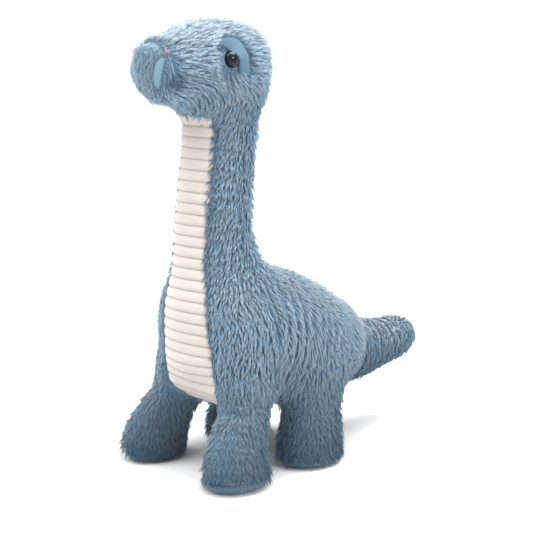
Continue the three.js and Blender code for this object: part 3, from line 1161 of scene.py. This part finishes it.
@dataclass
class Face:
    """The eyes, eyelids, nostril stitches and muzzle folds, on the left and mirrored."""

    form: Dinosaur
    eye_radius: float = 7.0
    eye_dome: float = 5.2
    lid_puff: float = 1.7
    lid_outer: tuple = ((12.6, -16.4), (15.9, -12.6), (17.3, -5.2), (16.6, 3.2), (13.6, 10.7),
                        (8.6, 16.0), (2.9, 17.4), (-2.9, 17.2), (-8.0, 15.6))
    lid_inner: tuple = ((10.0, -15.8), (6.6, -11.2), (5.6, -6.2), (5.0, -2.0), (3.2, 1.0),
                        (0.4, 4.0), (-2.8, 6.8), (-6.2, 9.1), (-9.6, 11.4))
    fold_line: tuple = ((20.2, -157.8, 359.5), (18.0, -159.8, 353.0), (16.0, -160.6, 346.0),
                        (14.4, -160.2, 339.5), (12.8, -158.6, 334.0))
    fold_half: float = 4.7

    def __post_init__(self) -> None:
        """Finds the left eye and nostril on the form from their CAD nodes."""
        self.eye = self._spot("eye_left", 3.4)
        self.nostril = self._spot("nostril_left", 2.6)
        self.lid_edges = [curve_through(edge, 72) for edge in (self.lid_outer, self.lid_inner)]

    def _spot(self, node: str, inset: float) -> tuple[Array, Array, Array, Array]:
        """A place on the head beside a CAD node.

        Args:
            node: The node that sits there.
            inset: How deep the place is under the pile's surface.

        Returns:
            The place, and the directions back, up and out of the surface there.
        """
        low, high = (np.array(corner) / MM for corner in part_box(node))
        middle = 0.5 * (low + high)
        start = np.array([[0.0, middle[1], middle[2]]])
        way = np.array([[1.0, 0.0, 0.0]])
        reach = self.form.solve(start, way, inset, np.array([70.0]))
        point = (start + way * reach[:, None])[0]
        out = self.form.normals(point[None])[0]
        back = unit(np.array([0.0, 1.0, 0.0]) - out * out[1])
        return point, back, np.cross(out, back), out

    def local(self, points: Array, spot: tuple) -> tuple[Array, Array]:
        """Places about a spot on the nearer side, back and up of its centre, in millimetres."""
        folded = np.column_stack([np.abs(points[:, 0]), points[:, 1:]])
        centre, back, up, _ = spot
        return (folded - centre) @ back, (folded - centre) @ up

    def lid_radius(self, turn: Array) -> Array:
        """How far the lid's outer edge is from the eye's centre at some turns, 0 off its sweep."""
        edge = self.lid_edges[0]
        turns = np.arctan2(edge[:, 1], edge[:, 0])
        return np.interp(turn, turns, np.hypot(*edge.T), left=0.0, right=0.0)

    def fold_distance(self, points: Array) -> Array:
        """How far points are from the nearer muzzle fold's middle line, in millimetres."""
        folded = np.column_stack([np.abs(points[:, 0]), points[:, 1:]])
        line = curve_through(self.fold_line, 30)
        return np.linalg.norm(folded[:, None] - line[None], axis=2).min(1)

    def bare(self, points: Array) -> Array:
        """Whether the pile is left off points: under an eye, a lid, a stitch or a fold."""
        back, up = self.local(points, self.eye)
        far = np.hypot(back, up)
        lid = self.lid_radius(np.arctan2(up, back)) - 0.8
        under = (far < np.maximum(lid, self.eye_radius + 0.2)) & (np.abs(points[:, 0]) > 20)
        back, up = self.local(points, self.nostril)
        along, across = 0.8 * back + 0.6 * up, 0.8 * up - 0.6 * back
        slit = np.hypot((along - 3.0) / 7.5, across / 1.7) < 1
        return under | slit | (self.fold_distance(points) < self.fold_half - 1.4)

    def make_eye(self, name: str, side: float) -> bpy.types.Object:
        """Makes an eye: a dome over a short rim, turned about its own axis.

        The outline is a quarter of an ellipse for the dome, a small round rim, and a flat back.

        Args:
            name: The piece's name.
            side: 1 for the left eye and -1 for the right.

        Returns:
            The piece.
        """
        lift = np.linspace(math.pi / 2 - 0.03, 0.0, 22)
        radius = self.eye_radius * np.cos(lift)
        height = self.eye_dome * np.sin(lift)
        radius = np.concatenate([radius, [self.eye_radius * 1.03, self.eye_radius, 2.0, 2.0]])
        height = np.concatenate([height, [-0.5, -1.6, -2.0, -10.0]])
        turn = np.linspace(0, 2 * math.pi, 48, endpoint=False)
        grid = np.stack([
            radius[:, None] * np.cos(turn), radius[:, None] * np.sin(turn),
            np.repeat(height[:, None], len(turn), 1),
        ], -1)
        points, faces = capped_tube(grid, flip=True)
        return self._placed(name, points, faces, self.eye, side)

    def _placed(self, name: str, local: Array, faces: Array, spot: tuple, side: float,
                smooth: bool = True) -> bpy.types.Object:
        """Puts a piece made about the origin on a spot of the head, on either side.

        Args:
            name: The piece's name.
            local: Points with back, up and out as their axes.
            faces: Its faces.
            spot: The spot on the left side.
            side: 1 for the left and -1 for the right.
            smooth: Whether it is shaded smooth.

        Returns:
            The piece.
        """
        centre, back, up, out = spot
        points = centre + local[:, :1] * back + local[:, 1:2] * up + local[:, 2:] * out
        if side < 0:
            points = points * np.array([-1.0, 1.0, 1.0])
            faces = faces[:, ::-1]
        return make_mesh(name, points, faces, smooth)

    def make_lid(self, name: str, side: float) -> bpy.types.Object:
        """Makes a padded eyelid: a crescent that hugs the head and rolls over the eye.

        Its outline runs between two smooth edges. Across it the height is a half ellipse, and
        it rests on the head or on the eye's dome, whichever is higher.

        Args:
            name: The piece's name.
            side: 1 for the left lid and -1 for the right.

        Returns:
            The piece.
        """
        outer, inner = self.lid_edges
        cols = 40
        around = np.linspace(0, 2 * math.pi, cols, endpoint=False)
        share = 0.5 * (1 - np.cos(around))
        plan = outer[:, None] * (1 - share)[None, :, None] + inner[:, None] * share[None, :, None]
        back, up = plan[..., 0], plan[..., 1]
        sweep = np.linspace(0.0, 1.0, len(outer))
        swell = np.sqrt(np.sin(math.pi * np.clip(sweep, 0.01, 0.985)))
        over = np.sin(around) * np.where(np.sin(around) > 0, self.lid_puff, 0.9)
        puff = over[None] * swell[:, None]
        far = np.hypot(back, up) / (self.eye_radius + 0.6)
        dome = (self.eye_dome + 0.5) * np.sqrt(np.clip(1.0 - far ** 2, 0.0, 1.0))
        rest = smooth_most(self._seat(back, up) + 1.1, dome, 1.5)
        for _ in range(30):
            rest = 0.5 * rest + 0.25 * (np.roll(rest, 1, 1) + np.roll(rest, -1, 1))
            rest[1:-1] = 0.5 * rest[1:-1] + 0.25 * (rest[:-2] + rest[2:])
        points, faces = capped_tube(np.stack([back, up, rest + puff], -1), flip=True)
        piece = self._placed(name, points, faces, self.eye, side)
        # edge marks the lid's rim for the suede's painted edge shade
        rim = np.abs(np.cos(around))[None] ** 8 * np.ones((len(outer), 1))
        carry(piece, "edge", np.concatenate([rim.ravel(), [1.0, 1.0]]))
        return piece

    def make_fold(self, name: str, side: float) -> bpy.types.Object:
        """Makes a muzzle fold: a low suede welt along a curved line beside the nose.

        Its cross-section is a flat ellipse whose half-width falls to the two ends as the root
        of a sine.

        Args:
            name: The piece's name.
            side: 1 for the left and -1 for the right.

        Returns:
            The piece.
        """
        line = curve_through(self.fold_line, 40)
        _, out = self._drop(line, 3.0)
        along = unit(np.gradient(line, axis=0))
        across = unit(np.cross(along, out))
        sweep = np.linspace(0.0, 1.0, len(line))
        half = self.fold_half * np.sin(math.pi * np.clip(sweep, 0.02, 0.98)) ** 0.35
        around = np.linspace(0, 2 * math.pi, 28, endpoint=False)
        shift = across[:, None] * (np.cos(around)[None] * half[:, None])[..., None]
        flat, facing = self._drop((line[:, None] + shift).reshape(-1, 3), 3.0)
        rise = (np.sin(around)[None] * 1.2 + 0.3) * np.ones((len(line), 1))
        grid = (flat + facing * rise.reshape(-1, 1)).reshape(len(line), len(around), 3)
        points, faces = capped_tube(grid * np.array([side, 1.0, 1.0]), flip=side > 0)
        piece = make_mesh(name, points, faces)
        # edge marks the fold's rim for the suede's painted edge shade
        rim = np.abs(np.cos(around))[None] ** 8 * np.ones((len(line), 1))
        carry(piece, "edge", np.concatenate([rim.ravel(), [1.0, 1.0]]))
        return piece

    def _drop(self, points: Array, inset: float) -> tuple[Array, Array]:
        """Moves points on to the head at an inset, and says which way it faces there."""
        out = self.form.normals(points)
        for _ in range(3):
            points = points - out * (self.form.depth(points) + inset)[:, None]
        return points, self.form.normals(points)

    def _seat(self, back: Array, up: Array) -> Array:
        """The head's surface under places about the eye, out from the eye's plane."""
        centre, along, rise, out = self.eye
        flat = centre + back[..., None] * along + up[..., None] * rise
        starts = (flat - out * 30.0).reshape(-1, 3)
        ways = np.repeat(out[None], len(starts), 0)
        reach = self.form.solve(starts, ways, 3.4, np.full(len(starts), 45.0))
        return reach.reshape(back.shape) - 30.0

    def make_nostril(self, name: str, side: float) -> bpy.types.Object:
        """Makes a nostril: three strands of thread laid side by side, bowed over the fabric.

        Each strand is a round tube along a shallow arch.

        Args:
            name: The piece's name.
            side: 1 for the left and -1 for the right.

        Returns:
            The piece.
        """
        strands = [self._strand(offset) for offset in (-0.5, 0.0, 0.5)]
        size = len(strands[0][0])
        points = np.concatenate([points for points, _ in strands])
        faces = np.concatenate([faces + i * size for i, (_, faces) in enumerate(strands)])
        return self._placed(name, points, faces, self.nostril, side)

    @staticmethod
    def _strand(offset: float) -> tuple[Array, Array]:
        """One strand of thread beside the stitch's middle line."""
        t = np.linspace(-1.0, 1.0, 17)
        turn = np.linspace(0, 2 * math.pi, 8, endpoint=False)
        length, lean, thick = 3.3, 0.2, 0.3 * np.sqrt(np.clip(1.02 - t ** 8, 0.02, 1))
        line = np.stack([t * length, np.full_like(t, offset), 1.9 - 1.2 * t ** 2], -1)
        ring = np.stack([np.zeros_like(turn), np.cos(turn), np.sin(turn)], -1)
        grid = line[:, None] + ring[None] * thick[:, None, None]
        tilt = np.array([[math.cos(lean), math.sin(lean), 0], [-math.sin(lean), math.cos(lean), 0],
                         [0, 0, 1]])
        points, faces = capped_tube(grid @ tilt)
        return points, faces


class Plush:
    """Makes the skins and the pile of every bag."""

    def __init__(self, form: Dinosaur, bib: Bib, face: Face, wardrobe: Wardrobe) -> None:
        """Keeps what the skins and the pile need."""
        self.form = form
        self.bib = bib
        self.face = face
        self.wardrobe = wardrobe
        self.inset = 3.3
        self.rng = np.random.default_rng(7)

    def cast(self, bag: Bag, rings: tuple, row: Array, turn: Array, slack: float) -> tuple:
        """Sends rays from a bag's rings to the skin.

        A ray stops a little past the bag's own surface even where the form goes on into the
        next bag, so that a skin's hidden stretch stays near its own bag.

        Args:
            bag: The bag.
            rings: Its ring origins, axes and leans.
            row: N ring numbers.
            turn: N turns about the spine.
            slack: How far past the bag's own surface a ray may go.

        Returns:
            N x 3 points, and whether each is on the joined form's surface.
        """
        origins, axes, leans = rings
        starts = origins[row]
        ways = RayLattice.ways(axes[row], leans[row], turn)
        alone = Dinosaur([bag])
        own = alone.solve(starts, ways, self.inset, np.full(len(starts), 110.0))
        limit = own + slack
        reach = self.form.solve(starts, ways, self.inset, limit)
        return starts + ways * reach[:, None], reach < limit - 0.05

    def make_skin(self, bag: Bag) -> bpy.types.Object:
        """Makes a bag's closed skin under the pile."""
        rings = RayLattice(bag, 3.0).rings()
        rows = len(rings[0])
        cols = 120
        row = np.repeat(np.arange(rows), cols)
        turn = np.tile(2 * math.pi * np.arange(cols) / cols, rows)
        points, _ = self.cast(bag, rings, row, turn, 7.0)
        if bag.flat_foot:
            points[:, 2] = np.maximum(points[:, 2], 1.2)
        grid, faces = capped_tube(points.reshape(rows, cols, 3))
        piece = make_mesh(f"{bag.name}_skin", grid, faces)
        self.wardrobe.dress(piece, Finish.BACKING)
        self.attach(piece, bag)
        return piece

    @staticmethod
    def attach(piece: bpy.types.Object, bag: Bag) -> None:
        """Rides a torso piece on the torso's body, and bakes the placement of any other bag's
        piece into its mesh.
        """
        if bag.name in TURNS:
            TURNS[bag.name].apply(piece)
        else:
            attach(piece, bag.name)

    def tuft_places(self, bag: Bag) -> tuple[Array, Array]:
        """Where a bag's tufts stand and which way the skin faces there.

        The tufts are staggered along the rings, as many on a ring as its girth holds.

        Args:
            bag: The bag.

        Returns:
            T x 3 places and T x 3 normals.
        """
        spacing = PILES.get(bag.name, SOCK).spacing
        rings = RayLattice(bag, spacing * 0.87).rings()
        rows = len(rings[0])
        index = np.repeat(np.arange(rows), 32)
        turn = np.tile(2 * math.pi * np.arange(32) / 32, rows)
        rough, _ = self.cast(bag, rings, index, turn, 16.0)
        loops = rough.reshape(rows, 32, 3)
        girth = np.linalg.norm(loops - np.roll(loops, 1, 1), axis=2).sum(1)
        counts = np.maximum(1, (girth / spacing).astype(int))
        row = np.repeat(np.arange(rows), counts)
        first = np.repeat(np.cumsum(counts) - counts, counts)
        order = np.arange(len(row)) - first
        stagger = 0.5 * (row % 2) + 0.13 * self.rng.normal(size=len(row))
        turn = 2 * math.pi * (order + stagger) / counts[row]
        points, free = self.cast(bag, rings, row, turn, 16.0)
        number = list(self.form.bags).index(bag.name)
        keep = free & (self.form.owner(points) == number)
        points = points[keep]
        points = points + 0.22 * self.rng.normal(size=points.shape)
        return points, self.form.normals(points)

    def comb(self, bag: Bag, points: Array, normals: Array) -> Array:
        """Which way the pile lies: the combing direction laid on to the skin.

        Args:
            bag: The bag the tufts stand on.
            points: T x 3 places.
            normals: T x 3 skin normals.

        Returns:
            T x 3 unit directions along the skin.
        """
        _, y, z = points.T
        way = np.zeros_like(points)
        way[:, 2] = -1.0
        if bag.name == "torso":
            way[:, 1] = -0.28 + 0.85 * smooth_step(-60, 60, y) + 0.5 * smooth_step(110, 170, z)
        elif bag.name == "neck":
            way[:, 1] = -0.5 + 0.35 * smooth_step(200, 130, z)
        elif bag.name == "tail":
            way[:, 1] = -0.6
        elif bag.name == "head":
            low = smooth_step(346, 322, z) * smooth_step(-150, -120, y)
            way[:, 1] = 1.0 - 0.85 * low
            way[:, 2] = -0.12 - 0.9 * low - 0.5 * smooth_step(-80, -50, y)
            nose = smooth_step(-0.45, -0.85, normals[:, 1])
            way[:, 1] -= nose * (way[:, 1] - 0.1)
            way[:, 2] -= nose * (way[:, 2] + 1.0)
            back, up = self.face.local(points, self.face.eye)
            far = np.hypot(back, up)
            away = np.stack([np.zeros(len(points)), back, up], -1) / np.maximum(far, 1)[:, None]
            way = way + away * (1.8 * smooth_step(26, 10, far))[:, None]
        edge = self.bib.edge_distance(points)
        away = smooth_step(9, 1, edge) * (points[:, 0] < 0) * (normals[:, 1] < 0)
        way[:, 0] -= 0.6 * away
        laid = way - normals * (way * normals).sum(-1, keepdims=True)
        return unit(laid + 1e-4)

    def hair_size(self, bag: Bag, points: Array, normals: Array) -> Array:
        """How long the hairs are, as a factor on the pile's length."""
        size = np.ones(len(points))
        if bag.name == "head":
            back, up = self.face.local(points, self.face.eye)
            far = np.hypot(back, up) - self.face.eye_radius
            in_front = smooth_step(2, -6, back)
            size *= 0.35 + 0.65 * smooth_step(0, 4 + 12 * in_front, far)
            size *= 1.0 - 0.4 * smooth_step(-0.4, -0.85, normals[:, 1])
            size *= 0.5 + 0.5 * smooth_step(0, 7, self.face.fold_distance(points) - 2.5)
        if bag.flat_foot:
            size *= 0.8 + 0.2 * smooth_step(2, 12, points[:, 2])
        trimmed = np.where(points[:, 0] < 0, 0.5, 0.8)
        return size * (trimmed + (1 - trimmed) * smooth_step(0, 9, self.bib.edge_distance(points)))

    def crease_shading(self, bag: Bag, points: Array) -> Array:
        """How much painted shade darkens the tufts in the creases by the lids, nostrils and
        corners of the mouth, and along the bib's edge.
        """
        if bag.name != "head":
            # painted shade along the bib's edge
            return smooth_step(2.5, 0.0, self.bib.edge_distance(points)) * 0.5
        back, up = self.face.local(points, self.face.eye)
        far = np.hypot(back, up)
        edge = self.face.lid_radius(np.arctan2(up, back))
        # painted shade by the lid's rim, the eye's inner corner, under the eye, at the nostril
        # slit and at the mouth corner
        rim = smooth_step(2.8, 0.5, far - edge) * (edge > 0) * (up > -4) * 0.7
        corner = np.exp(-((back + 8.5) / 3.0) ** 2 - ((up - 7.0) / 4.0) ** 2)
        under = np.exp(-((far - 8.0) / 2.0) ** 2) * 0.55
        back, up = self.face.local(points, self.face.nostril)
        along, across = 0.8 * back + 0.6 * up, 0.8 * up - 0.6 * back
        slit = np.exp(-((along - 4.0) / 5.5) ** 2 - (across / 2.2) ** 2)
        folded = np.column_stack([np.abs(points[:, 0]), points[:, 1:]])
        from_mouth = np.linalg.norm(folded - np.array(MOUTH_CORNER), axis=1)
        mouth = np.exp(-(from_mouth / 6.0) ** 2)
        return np.max(np.stack([rim, corner, under, slit, mouth]), 0)

    def make_pile(self, bag: Bag) -> list[bpy.types.Object]:
        """Makes the pile of a bag, one piece for each plush panel."""
        points, normals = self.tuft_places(bag)
        bare = np.zeros(len(points), bool)
        if bag.name == "head":
            bare = self.face.bare(points)
        elif bag.flat_foot:
            bare = (normals[:, 2] < -0.8) & (points[:, 2] < 8)
        hidden = np.where(points[:, 0] < 0, -1.4, -2.6)
        bare = bare | (self.bib.edge_distance(points) < hidden)
        points, normals = points[~bare], normals[~bare]
        flow = self.comb(bag, points, normals)
        size = self.hair_size(bag, points, normals)
        crease = self.crease_shading(bag, points)
        # how much painted top light a tuft gets, by how far its skin faces up
        upward = smooth_step(0.25, 0.95, normals[:, 2])
        pieces = []
        for panel, inside in panels_of(bag, points).items():
            name = f"{panel}_pile"
            marks = {"crease": crease[inside], "upward": upward[inside]}
            piece = hair_mesh(name, points[inside], normals[inside], flow[inside], size[inside],
                              marks, PILES.get(bag.name, SOCK), self.rng)
            self.wardrobe.dress(piece, Finish.PILE)
            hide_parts(panel)
            self.attach(piece, bag)
            log.info("%s: %d tufts, %d triangles", name, inside.sum(), len(piece.data.polygons))
            pieces.append(piece)
        return pieces


def panels_of(bag: Bag, points: Array) -> dict[str, Array]:
    """Which sewn panel each point of a bag is on.

    Args:
        bag: The bag.
        points: T x 3 places on it.

    Returns:
        A mask of the points for each panel's CAD node.
    """
    x, y, z = points.T
    left = x > 0
    if bag.name == "torso":
        belly = (np.abs(x) < 25) & (z < 74) & (y > -104) & (y < 33)
        return {"flank_panel_left": left & ~belly, "flank_panel_right": ~left & ~belly,
                "belly_gusset": belly}
    if bag.name == "head":
        crown = (np.abs(x) < 12) & (z > 352)
        chin = (np.abs(x) < 17) & (z < 335) & (y < -111)
        side = ~crown & ~chin
        return {"head_panel_left": left & side, "head_panel_right": ~left & side,
                "crown_gusset": crown, "chin_panel": chin}
    if bag.flat_foot:
        outer = np.abs(x) > abs(bag.stations[-1].x)
        return {f"{bag.name}_outer_panel": outer, f"{bag.name}_inner_panel": ~outer}
    return {f"{bag.name}_panel_left": left, f"{bag.name}_panel_right": ~left}


@dataclass
class Sole:
    """A flat sole under a foot, with a rounded edge."""

    bag: Bag
    inset: float = 3.2
    above: float = 9.0
    levels: tuple = (0.0, 0.3, 1.2, 3.0, 5.5, 9.0)
    shrink: tuple = (6.8, 5.4, 4.0, 2.9, 1.9, 1.0)

    def make(self, form: Dinosaur) -> bpy.types.Object:
        """Makes the sole: the foot's outline just above the ground, drawn in at both faces."""
        foot = self.bag.stations[-1]
        turn = np.linspace(0, 2 * math.pi, 96, endpoint=False)
        starts = np.repeat(np.array([[foot.x, foot.y, self.above]]), len(turn), 0)
        ways = np.stack([np.cos(turn), np.sin(turn), np.zeros_like(turn)], -1)
        reach = form.solve(starts, ways, self.inset, np.full(len(turn), 60.0))
        radius = reach[None] - np.array(self.shrink)[:, None]
        grid = np.stack([
            foot.x + radius * np.cos(turn), foot.y + radius * np.sin(turn),
            np.repeat(np.array(self.levels)[:, None], len(turn), 1),
        ], -1)
        points, faces = capped_tube(grid)
        return make_mesh(f"{self.bag.name.replace('_leg', '')}_sole", points, faces)


# ---------------------------------------------------------------------------------------------
# Studio
# ---------------------------------------------------------------------------------------------


@dataclass(frozen=True)
class Studio:
    """The floor, the soft lights and the camera."""

    aim: tuple = (75.0, -95.0, 190.0)
    azimuth: float = math.radians(48)
    pitch: float = math.radians(10.9)
    distance: float = 1160.0
    lens: float = 95.7

    def build(self) -> None:
        """Makes the camera first, then the floor, the world and the lights."""
        self._camera()
        self._floor()
        self._world()
        self._sun()
        self._light("top_light", (0.2, 0.3, 1.4), 0.9, 32.0)
        self._light("catch_light", (0.95, 0.02, 0.7), 0.22, 4.5)
        bpy.context.scene.view_settings.view_transform = "Standard"

    def _camera(self) -> None:
        """Places the camera on its azimuth and pitch about the aim."""
        data = bpy.data.cameras.new("camera")
        data.lens = self.lens
        data.sensor_width = 36.0
        camera = bpy.data.objects.new("camera", data)
        bpy.context.scene.collection.objects.link(camera)
        level = math.cos(self.pitch)
        back = Vector((math.sin(self.azimuth) * level, -math.cos(self.azimuth) * level,
                       math.sin(self.pitch)))
        camera.location = (Vector(self.aim) + back * self.distance) * MM
        camera.rotation_euler = back.to_track_quat("Z", "Y").to_euler()
        bpy.context.scene.camera = camera

    @staticmethod
    def _floor() -> None:
        """Makes the floor, a wide plane just under the feet."""
        corners = np.array([[-1, -1, 0], [1, -1, 0], [1, 1, 0], [-1, 1, 0]], float) * 6000.0
        floor = make_mesh("floor", corners, np.array([[0, 1, 2, 3]]))
        floor.data.materials.append(FloorFinish().build())

    @staticmethod
    def _world() -> None:
        """Gives the world an even white light."""
        world = bpy.data.worlds.new("studio")
        world.use_nodes = True
        background = world.node_tree.nodes["Background"]
        background.inputs["Color"].default_value = (1.0, 1.0, 1.0, 1.0)
        background.inputs["Strength"].default_value = 1.0
        bpy.context.scene.world = world

    @staticmethod
    def _sun() -> None:
        """Adds a very soft sun from above and in front, which lights the floor evenly."""
        data = bpy.data.lights.new("soft_sun", "SUN")
        data.energy = 3.4
        data.angle = math.radians(55)
        sun = bpy.data.objects.new("soft_sun", data)
        bpy.context.scene.collection.objects.link(sun)
        sun.rotation_euler = Vector((0.22, 0.5, -1.0)).to_track_quat("-Z", "Y").to_euler()

    @staticmethod
    def _light(name: str, place: tuple, size: float, power: float) -> None:
        """Adds a soft square light that faces the middle of the toy."""
        data = bpy.data.lights.new(name, "AREA")
        data.size = size
        data.energy = power
        light = bpy.data.objects.new(name, data)
        bpy.context.scene.collection.objects.link(light)
        light.location = place
        aim = Vector((0.0, -0.05, 0.2)) - light.location
        light.rotation_euler = aim.to_track_quat("-Z", "Y").to_euler()


# ---------------------------------------------------------------------------------------------
# Putting it together
# ---------------------------------------------------------------------------------------------


def make_face(face: Face, wardrobe: Wardrobe) -> None:
    """Makes both eyes, lids and nostrils and rides them on the head."""
    for word, side in (("left", 1.0), ("right", -1.0)):
        makers = {
            "eye": (face.make_eye, Finish.EYE),
            "eyelid": (face.make_lid, Finish.LID),
            "nostril": (face.make_nostril, Finish.THREAD),
            "muzzle_fold": (face.make_fold, Finish.FOLD),
        }
        for part, (make, finish) in makers.items():
            piece = make(f"{part}_{word}_piece", side)
            wardrobe.dress(piece, finish)
            if part != "muzzle_fold":
                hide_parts(f"{part}_{word}")
            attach(piece, "head")
            log.info("%s: %d faces", piece.name, len(piece.data.polygons))


def make_bib(bib: Bib, form: Dinosaur, wardrobe: Wardrobe) -> None:
    """Makes the bib."""
    piece = bib.make(form)
    wardrobe.dress(piece, Finish.CORD)
    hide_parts("throat_panel", "chest_panel_lower")
    TURNS["neck"].apply(piece)
    log.info("%s: %d faces", piece.name, len(piece.data.polygons))


def make_soles(form: Dinosaur, wardrobe: Wardrobe) -> None:
    """Makes the four soles."""
    for name, bag in LEGS.items():
        piece = Sole(bag).make(form)
        wardrobe.dress(piece, Finish.BACKING)
        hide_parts(f"{name.replace('_leg', '_foot')}_sole")
        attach(piece, name)
        log.info("%s: %d faces", piece.name, len(piece.data.polygons))


def dress_inside(nodes: dict, wardrobe: Wardrobe) -> None:
    """Gives the fillings and washers that stay as they are their finishes."""
    for name, node in nodes.items():
        if name.endswith("filling"):
            wardrobe.redress(node, Finish.FIBRE)
        elif "washer" in name:
            wardrobe.redress(node, Finish.NYLON)


def main() -> None:
    """Builds the whole scene."""
    logging.basicConfig(level=logging.INFO, format="%(message)s")
    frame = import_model()
    Studio().build()
    wardrobe = Wardrobe()
    form = Dinosaur([TORSO, NECK, HEAD, TAIL, *LEGS.values()])
    bib = Bib()
    face = Face(form)
    make_bib(bib, form, wardrobe)
    make_face(face, wardrobe)
    make_soles(form, wardrobe)
    dress_inside(frame["nodes"], wardrobe)
    plush = Plush(form, bib, face, wardrobe)
    for bag in form.bags.values():
        plush.make_skin(bag)
        plush.make_pile(bag)


if __name__ == "__main__":
    main()
